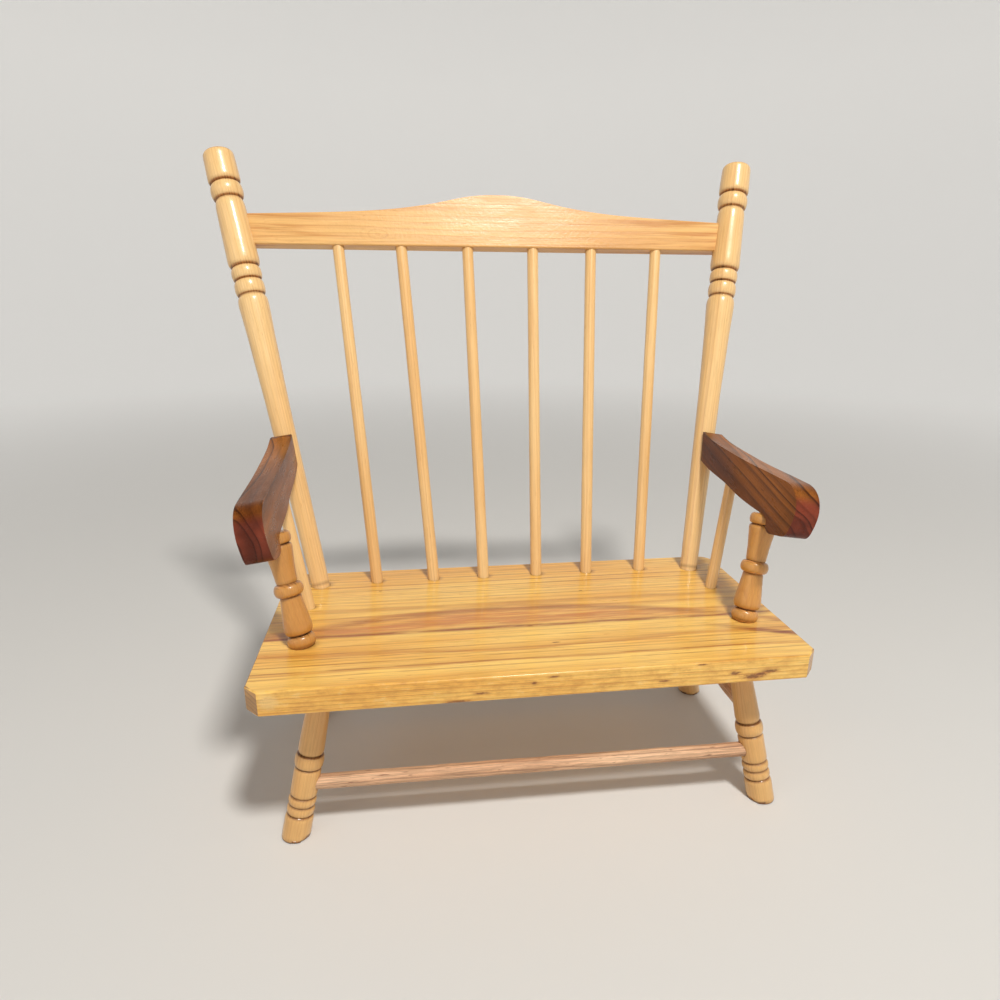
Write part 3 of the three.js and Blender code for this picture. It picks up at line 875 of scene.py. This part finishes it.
rail_holes = []
for number, (low_x, high_x) in enumerate(SPINDLES, start=1):
    foot, head = on_back(low_x, 0, 0), on_back(high_x, 0, RAIL_BOTTOM)
    along = (head - foot).normalized()
    start = foot - along * (TENON - END_GAP)
    length = (head - foot).length + TENON - END_GAP + SPINDLE_IN_RAIL
    name = f"back_spindle_{number}"
    spindle = dowel(name, SPINDLE_RADIUS, length, seed=number)
    spindle.matrix_world = standing(start, along, turn=number * 1.1)
    pale = turned_wood(f"spindle_wood_{number}", 10.7 + number * 1.9)
    fit(spindle, name, pale)
    seat_holes.append(drill(SPINDLE_SEAT_HOLE, BIT, standing(start - along * END_GAP, along)))
    below = 20  # the rail's drill starts this far below the rail
    depth = below + SPINDLE_IN_RAIL + END_GAP
    rail_holes.append(drill(SPINDLE_RAIL_HOLE, depth, standing(head - along * below, along)))
rail = carve(rail, rail_holes)
fit(leveled(rail), "crest_rail", RAIL_PINE)

# ---------------------------------------------------------------- legs and stretchers

# painted shade in the leg's grooves: height, half-width, strength
LEG_GROOVES = [(h, 0.8, 0.85) for h in (17.9, 25.3, 32.3, 55.0, 65.9)]


def leg_profile(length):
    """A leg's turned profile, from below the ground to the end of its tenon."""
    return [
        (10.1, -8),
        (10.4, 2),
        (10.4, 14.2),
        (10.1, 16.2),
        (9.5, 17.3),
        (8.8, 17.9),
        *band(18.4, 24.8, 10.1, 2.0, 1.1),
        (8.8, 25.3),
        *band(25.8, 31.8, 10.1, 2.0, 1.1),
        (8.7, 32.3),
        *band(32.8, 54.5, 9.9, 1.9, 1.1),
        (8.5, 55.0),
        *bead(55.5, 65.4, 9.1, 10.7),
        (8.3, 65.9),
        (8.8, 66.5),
        (9.3, 67.8),
        (9.5, 70.0),
        (9.45, 73.0),
        (8.0, length - 2),
        (7.8, length + 2),
        (7.8, length + 11.7),
        (7.0, length + TENON),
    ]


def leg_axis(name, z):
    """The point of a leg's axis at a height above the ground."""
    (fx, fy), (tx, ty) = LEGS[name]
    t = z / SEAT_UNDER
    return at(fx + (tx - fx) * t, fy + (ty - fy) * t, z)


def saw_foot(leg, stand):
    """Saws a standing leg off at the ground, eases the rim and darkens its last millimetres with
    painted shade and dirt.
    """
    bm = bmesh.new()
    bm.from_mesh(leg.data)
    ground = stand.inverted()
    bmesh.ops.bisect_plane(
        bm,
        geom=bm.verts[:] + bm.edges[:] + bm.faces[:],
        plane_co=ground @ Vector((0, 0, 0)),
        plane_no=ground.to_3x3() @ Vector((0, 0, -1)),
        clear_outer=True,
    )
    rim = [e for e in bm.edges if e.is_boundary]
    sole = bmesh.ops.contextual_create(bm, geom=rim)["faces"]
    bmesh.ops.recalc_face_normals(bm, faces=bm.faces)
    edges = [e for f in sole for e in f.edges]
    bmesh.ops.bevel(bm, geom=edges, offset=1.5 * MM, segments=3, profile=0.5, affect="EDGES")
    painted_shade_and_dirt = bm.verts.layers.float["painted_shade_and_dirt"]
    # painted shade and dirt on the last millimetres above the ground
    for vertex in bm.verts:
        height = (stand @ vertex.co).z / MM
        vertex[painted_shade_and_dirt] = max(vertex[painted_shade_and_dirt], min(1.0, max(0.0, (2.4 - height) / 1.4)) * 0.9)
    bm.to_mesh(leg.data)
    bm.free()


leg_holes = {name: [] for name in LEGS}
for number, (name, leg_a, leg_b, z) in enumerate(STRETCHERS):
    start, stop = leg_axis(leg_a, z), leg_axis(leg_b, z)
    along = (stop - start).normalized()
    start, stop = start + along * STRETCHER_START, stop - along * STRETCHER_START
    rod = dowel(name, STRETCHER_RADIUS, (stop - start).length, seed=20 + number, wobble=0.2)
    rod.matrix_world = standing(start, along, turn=number * 0.9)
    fit(rod, name, raw_wood(name + "_wood", 31.3 + number * 2.3))
    for leg, point, way in ((leg_a, start, along), (leg_b, stop, -along)):
        leg_holes[leg].append((point - way * END_GAP, way))

for number, name in enumerate(LEGS):
    foot, top = leg_axis(name, 0), leg_axis(name, SEAT_UNDER)
    length, way = (top - foot).length, (top - foot).normalized()
    stand = standing(foot, top - foot, turn=number)
    profile, seed = leg_profile(length), 9 + number
    leg = turned("leg_" + name, profile, sides=64, longest=2.6, seed=seed, grooves=LEG_GROOVES)
    saw_foot(leg, stand)
    leg.matrix_world = stand
    drills = [drill(STRETCHER_HOLE, 30, standing(*hole)) for hole in leg_holes[name]]
    leg = carve(leg, drills)
    tones = dict(light=srgb(228, 182, 116), deep=srgb(208, 152, 84))
    pale = turned_wood("leg_wood_" + name, 50.1 + number * 3.7, **tones)
    fit(leg, "leg_" + name, pale)
    seat_holes.append(drill(LEG_HOLE, BIT, standing(top + way * (TENON + END_GAP - BIT), way)))

# ---------------------------------------------------------------- arms

# painted shade in the arm post's grooves and where it meets the seat: height, half-width, strength
ARM_POST_GROOVES = [
    (9.0, 0.8, 0.9),
    (38.0, 0.7, 0.6),
    (48.3, 0.7, 0.6),
    (77.4, 0.8, 0.85),
    (0.4, 0.8, 0.7),
]
ARM_GRAIN = {"left": ((8, -24), 3), "right": ((-14, -30), 13)}  # pith and slant


def arm_outline():
    """An arm's side view in seat coordinates y and z, from the rear forwards underneath."""
    under = [(196.8, 237.2), (171, 232.6), (138, 229.4), (110, 225.2), (84, 223.4), (66, 223.2)]
    points = [under[0], *spline(under, 6)]
    points += bezier((66, 223.2), (61.8, 222.4), (60.8, 216), steps=8)
    points += bezier((60.8, 216), (59.8, 211.2), (55.6, 211.5), steps=8)
    points += bezier((55.6, 211.5), (38, 215.4), steps=6)
    points += bezier((38, 215.4), (33.6, 216.4), (31.6, 220.8), steps=8)
    points += bezier((31.6, 220.8), (28.6, 228.6), (28.4, 236), steps=8)
    points += bezier((28.4, 236), (29.2, 247.2), (37, 254.2), (49, 255), steps=14)
    top = [(49, 255), (69, 255.2), (100, 255.2), (124, 255.7), (160, 257.4), (184, 259.4)]
    return points + spline([*top, (204.4, 263)], 6)


def arm_post_profile(shoulder):
    """The turned post under an arm, with a tenon above its shoulder and one below the seat."""
    return [
        (4.1, -11.9),
        (4.6, -11.1),
        (4.6, -2.6),
        (6.6, -1.8),
        *bead(-1.6, 8.5, 6.9, 10.4)[1:],
        (7.4, 9.0),
        (8.9, 9.5),
        (9.8, 10.6),
        (10.3, 12.6),
        (10.4, 15.6),
        (9.3, 24),
        (8.3, 32),
        (7.7, 37.4),
        (7.2, 38.2),
        *bead(38.6, 47.6, 8.0, 10.7),
        (7.2, 48.2),
        (7.7, 49.2),
        (8.4, 60),
        (9.6, 70),
        (10.15, 74.2),
        (10.0, 75.8),
        (9.2, 76.9),
        (8.3, 77.4),
        *bead(77.9, shoulder - 0.4, 9.0, 10.8),
        (8.6, shoulder),
        (4.6, shoulder),
        (4.6, shoulder + ARM_POST_IN_ARM - 0.6),
        (4.0, shoulder + ARM_POST_IN_ARM),
    ]


def arm_matrix(label, side):
    """Places an arm's outline: toed out, leaning outwards and pitched by its own small errors."""
    back = Vector((side * ARM_TOE[label], 1, 0)).normalized()
    up = Vector((side * ARM_LEAN, 0, 1))
    up = (up - back * up.dot(back)).normalized()
    turn = Matrix((back, up, back.cross(up))).transposed().to_4x4()
    middle = Matrix.Translation(at(side * ARM_MIDDLE_X, *ARM_PIVOT) * MM)
    return middle @ turn @ Matrix.Rotation(ARM_PITCH[label], 4, "Z")


for label, side in SIDES.items():
    arm = [(y - ARM_PIVOT[0], z - ARM_PIVOT[1]) for y, z in arm_outline()]
    arm = board("arm_" + label, arm, ARM_THICK, 1.2)
    arm.matrix_world = arm_matrix(label, side)

    # the turned post under the arm's front
    out, back, up = ARM_SUPPORT_SLOPE
    slope = Vector((side * out, back, up))
    along = slope.normalized()
    foot = at(*ARM_POST_FOOT[label], SEAT_TOP)
    shoulder = (ARM_SHOULDER_Z - SEAT_TOP) * slope.length
    name, profile = "arm_post_" + label, arm_post_profile(shoulder)
    post = turned(name, profile, sides=64, longest=2.2, seed=30 + side, grooves=ARM_POST_GROOVES)
    post.matrix_world = standing(foot, along, turn=side * 2)
    # the arm post's darker amber is partly the wood's own tone and partly painted shade from the
    # arm above
    tones = dict(light=srgb(208, 150, 76), deep=srgb(184, 122, 50))
    amber = turned_wood("arm_post_wood_" + label, 70.3 + side * 4, **tones)
    fit(post, name, amber)
    seat_holes.append(drill(ARM_POST_HOLE, BIT, standing(foot - along * TENON, along)))
    bottom = foot + along * (shoulder + ARM_POST_IN_ARM + END_GAP - BIT)
    arm_holes = [drill(ARM_POST_HOLE, BIT, standing(bottom, along))]

    # the plain spindle behind it; one size of drill bores both the seat and the arm
    length = (ARM_SPINDLE_TOP - SEAT_TOP) * slope.length + TENON - END_GAP
    start = at(*ARM_SPINDLE_FOOT[label], SEAT_TOP) - along * (TENON - END_GAP)
    name = "arm_spindle_" + label
    rod = dowel(name, ARM_SPINDLE_RADIUS, length, seed=40 + side)
    rod.matrix_world = standing(start, along, turn=side)
    fit(rod, name, turned_wood("arm_spindle_wood_" + label, 80.9 + side * 4))
    stand = standing(start - along * END_GAP, along)
    for holes in (arm_holes, seat_holes):
        holes.append(drill(ARM_SPINDLE_HOLE, length + 2 * END_GAP, stand))

    # the hidden dowel that ties the arm to the back post
    reach = (ARM_DOWEL_Z - SEAT_TOP) / math.cos(LEAN)
    axis = on_back(post_x(reach, label), -POST_FORWARD, reach)
    name, backwards = "arm_dowel_" + label, Vector((0, 1, 0))
    pin = dowel(name, ARM_DOWEL_RADIUS, ARM_DOWEL_LENGTH, seed=60 + side)
    pin.matrix_world = standing(axis - backwards * ARM_DOWEL_REACH, backwards)
    plain = turned_wood("dowel_wood_" + label, 90.5 + side, roughness=0.6, coat=0.0)
    fit(pin, name, plain)
    stand = standing(axis - backwards * (ARM_DOWEL_REACH + END_GAP), backwards)
    arm_holes.append(drill(ARM_DOWEL_HOLE, ARM_DOWEL_LENGTH + 2 * END_GAP, stand))

    # the arm's rear end is sawn along the slope of the back
    through = Vector((0, math.cos(LEAN), -math.sin(LEAN)))
    half = 60
    saw = [(-half, -half), (half, -half), (half, half), (-half, half)]
    saw = board("saw", saw, half, 0.1, segments=1)
    saw.matrix_world = standing(axis + through * (half / 2 - ARM_TO_POST), through)
    arm = carve(arm, arm_holes + [saw])
    brown = arm_wood("arm_wood_" + label, 100.7 + side * 7, *ARM_GRAIN[label])
    fit(leveled(arm), "arm_" + label, brown)

# ---------------------------------------------------------------- seat board


def seat_outline():
    """The seat from above: clipped front corners and rounded rear ones."""
    half, rear, clip, r = SEAT_HALF, SEAT_DEPTH, SEAT_CLIP, SEAT_REAR_RADIUS
    points = [(-half + clip, 0), (half - clip, 0), (half, clip)]
    turns = [math.radians(90 * i / 10) for i in range(11)]
    points += [(half - r + r * math.cos(t), rear - r + r * math.sin(t)) for t in turns]
    points += [(-half + r - r * math.sin(t), rear - r + r * math.cos(t)) for t in turns]
    return points + [(-half, clip)]


seat = board("seat_board", seat_outline(), SEAT_TOP - SEAT_UNDER, 1.3)
seat.matrix_world = Matrix.Translation(at(0, 0, (SEAT_TOP + SEAT_UNDER) / 2) * MM)
seat = carve(seat, seat_holes)
fit(leveled(seat), "seat_board", SEAT_PINE)

# ---------------------------------------------------------------- floor, light and camera


def sweep():
    """A pale studio floor that curves up into a low wall all the way round, in metres."""
    flat, curve, wall_top, sides = 2.6, 1.6, 3.4, 64
    turns = [math.pi / 2 * i / 12 for i in range(1, 13)]
    profile = [(0.4, 0), (1.2, 0), (flat, 0)]
    profile += [(flat + curve * math.sin(t), curve - curve * math.cos(t)) for t in turns]
    profile += [(flat + curve, wall_top)]
    bm = bmesh.new()
    centre = bm.verts.new((0, 0, 0))
    angles = [2 * math.pi * i / sides for i in range(sides)]
    rings = []
    for r, z in profile:
        rings.append([bm.verts.new((r * math.cos(a), r * math.sin(a), z)) for a in angles])
    for i in range(sides):
        bm.faces.new((centre, rings[0][i], rings[0][(i + 1) % sides]))
    for low, high in zip(rings, rings[1:]):
        for i in range(sides):
            bm.faces.new((low[i], high[i], high[(i + 1) % sides], low[(i + 1) % sides]))
    for face in bm.faces:
        face.smooth = True
    mesh = bpy.data.meshes.new("studio_floor")
    bm.to_mesh(mesh)
    bm.free()
    made = bpy.data.objects.new("studio_floor", mesh)
    bpy.context.scene.collection.objects.link(made)
    return made


# the paper glows faintly far from the bench, so that the wall behind stays as pale as the floor
floor = sweep()
paper = Graph("pale_floor")
paper.shader.inputs["Base Color"].default_value = (0.70, 0.69, 0.67, 1)
paper.shader.inputs["Roughness"].default_value = 0.85
paper.shader.inputs["Emission Color"].default_value = (1.0, 0.99, 0.97, 1)
across, back, _ = paper.split(paper.add("ShaderNodeTexCoord").outputs["Object"])
away = paper.distance(across, back)
paper.feed(paper.shader.inputs["Emission Strength"], paper.ease(away, 0.4, 2.9, 0.0, 0.30))
floor.data.materials.append(paper.material)

world = bpy.context.scene.world = bpy.data.worlds.new("studio")
world.use_nodes = True
background = world.node_tree.nodes["Background"]
background.inputs["Color"].default_value = (1.0, 0.98, 0.95, 1)
background.inputs["Strength"].default_value = 0.12


def area_light(name, place, target, size, power, colour):
    """A round lamp at place, turned to target, in metres and watts."""
    data = bpy.data.lights.new(name, "AREA")
    data.shape, data.size, data.energy, data.color = "DISK", size, power, colour
    lamp = bpy.data.objects.new(name, data)
    lamp.location = place
    lamp.rotation_mode = "QUATERNION"
    lamp.rotation_quaternion = (Vector(target) - Vector(place)).to_track_quat("-Z", "Y")
    bpy.context.scene.collection.objects.link(lamp)


area_light("key", (0.34, -1.06, 2.15), (0, 0, 0.2), 0.34, 42, (1.0, 0.97, 0.92))
area_light("fill", (-1.5, -1.2, 1.2), (0, 0, 0.25), 1.3, 3, (1.0, 0.98, 0.96))

EYE = (-87.66, -399.4, 386.2)  # seat coordinates
YAW, PITCH, ROLL = 0.1342, 0.2944, 0.0059
heading = Vector((math.sin(YAW), math.cos(YAW), 0))
forward = heading * math.cos(PITCH) - Vector((0, 0, math.sin(PITCH)))
level = Vector((math.cos(YAW), -math.sin(YAW), 0))
above = level.cross(forward)
right = level * math.cos(ROLL) + above * math.sin(ROLL)
upward = -level * math.sin(ROLL) + above * math.cos(ROLL)
camera_data = bpy.data.cameras.new("camera")
camera_data.lens, camera_data.sensor_width = 24.149, 36.0
camera_data.clip_start, camera_data.clip_end = 0.01, 50
camera = bpy.data.objects.new("camera", camera_data)
bpy.context.scene.collection.objects.link(camera)
turn = Matrix((right, upward, -forward)).transposed().to_4x4()
camera.matrix_world = Matrix.Translation(at(*EYE) * MM) @ turn
bpy.context.scene.camera = camera
bpy.context.scene.view_settings.view_transform = "Standard"
